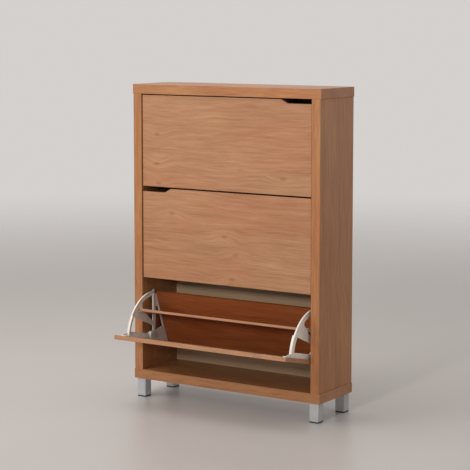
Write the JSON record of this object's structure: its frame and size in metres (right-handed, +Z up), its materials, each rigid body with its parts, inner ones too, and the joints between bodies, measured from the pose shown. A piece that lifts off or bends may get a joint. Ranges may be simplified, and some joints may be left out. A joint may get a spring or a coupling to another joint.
{
  "type": "shoe cabinet",
  "caption": "Tall narrow shoe cabinet on short square legs, with tilt-out drawers stacked above each other; the lowest one is tilted open, showing its shoe compartments.",
  "frame": {"origin": "on the floor, under the middle of the bounding box with the lowest drawer open", "axes": "+X to the right seen from the front, +Y to the back, +Z up; the drawers open towards -Y"},
  "size_m": [0.82, 0.4237, 1.2],
  "materials": {
    "wood_laminate": "satin wood-grain laminate, warm cherry brown",
    "door_laminate": "satin wood-grain laminate with faint knots, grain across the door",
    "inner_board": "satin wood-grain laminate, reddish brown",
    "back_board": "matt printed hardboard, grey beige",
    "bracket_plastic": "moulded plastic, warm light grey, fine texture",
    "leg_metal": "satin silver",
    "zinc_steel": "bright zinc plating",
    "beech_dowel": "plain beech, unfinished",
    "black_rubber": "matt black rubber",
    "bumper_rubber": "matt dark brown rubber"
  },
  "bodies": {
    "cabinet": {"top_panel": "wood_laminate", "bottom_panel": "wood_laminate", "left_side_panel": "wood_laminate", "right_side_panel": "wood_laminate", "back_panel": "back_board", "front_left_leg": "leg_metal", "front_right_leg": "leg_metal", "rear_left_leg": "leg_metal", "rear_right_leg": "leg_metal", "leg_pads": "black_rubber", "leg_screws": "zinc_steel", "cam_locks": "zinc_steel", "cam_bolts": "zinc_steel", "dowels": "beech_dowel", "pivot_screws": "zinc_steel", "lower_left_pivot_plate": "zinc_steel", "lower_right_pivot_plate": "zinc_steel", "lower_pivot_pins": "zinc_steel", "lower_opening_stops": "bumper_rubber", "lower_closing_bumpers": "bumper_rubber", "middle_left_pivot_plate": "zinc_steel", "middle_right_pivot_plate": "zinc_steel", "middle_pivot_pins": "zinc_steel", "middle_opening_stops": "bumper_rubber", "middle_closing_bumpers": "bumper_rubber", "upper_left_pivot_plate": "zinc_steel", "upper_right_pivot_plate": "zinc_steel", "upper_pivot_pins": "zinc_steel", "upper_opening_stops": "bumper_rubber", "upper_closing_bumpers": "bumper_rubber"},
    "lower_drawer": {"lower_door": "door_laminate", "lower_divider": "inner_board", "lower_heel_board": "inner_board", "lower_left_bracket": "bracket_plastic", "lower_right_bracket": "bracket_plastic", "lower_door_screws": "zinc_steel", "lower_heel_screws": "zinc_steel", "lower_divider_screws": "zinc_steel"},
    "middle_drawer": {"middle_door": "door_laminate", "middle_divider": "inner_board", "middle_heel_board": "inner_board", "middle_left_bracket": "bracket_plastic", "middle_right_bracket": "bracket_plastic", "middle_door_screws": "zinc_steel", "middle_heel_screws": "zinc_steel", "middle_divider_screws": "zinc_steel"},
    "upper_drawer": {"upper_door": "door_laminate", "upper_divider": "inner_board", "upper_heel_board": "inner_board", "upper_left_bracket": "bracket_plastic", "upper_right_bracket": "bracket_plastic", "upper_door_screws": "zinc_steel", "upper_heel_screws": "zinc_steel", "upper_divider_screws": "zinc_steel"}
  },
  "joints": [
    {"name": "upper_tilt", "type": "hinge", "parent": "cabinet", "child": "upper_drawer", "pos_m": [0, 0.00995, 0.94], "axis": [1, 0, 0], "range_deg": [0, 77]},
    {"name": "middle_tilt", "type": "hinge", "parent": "cabinet", "child": "middle_drawer", "pos_m": [0, 0.00995, 0.59], "axis": [1, 0, 0], "range_deg": [0, 77]},
    {"name": "lower_tilt", "type": "hinge", "parent": "cabinet", "child": "lower_drawer", "pos_m": [0, 0.00995, 0.24], "axis": [1, 0, 0], "range_deg": [-77, 0]}
  ]
}
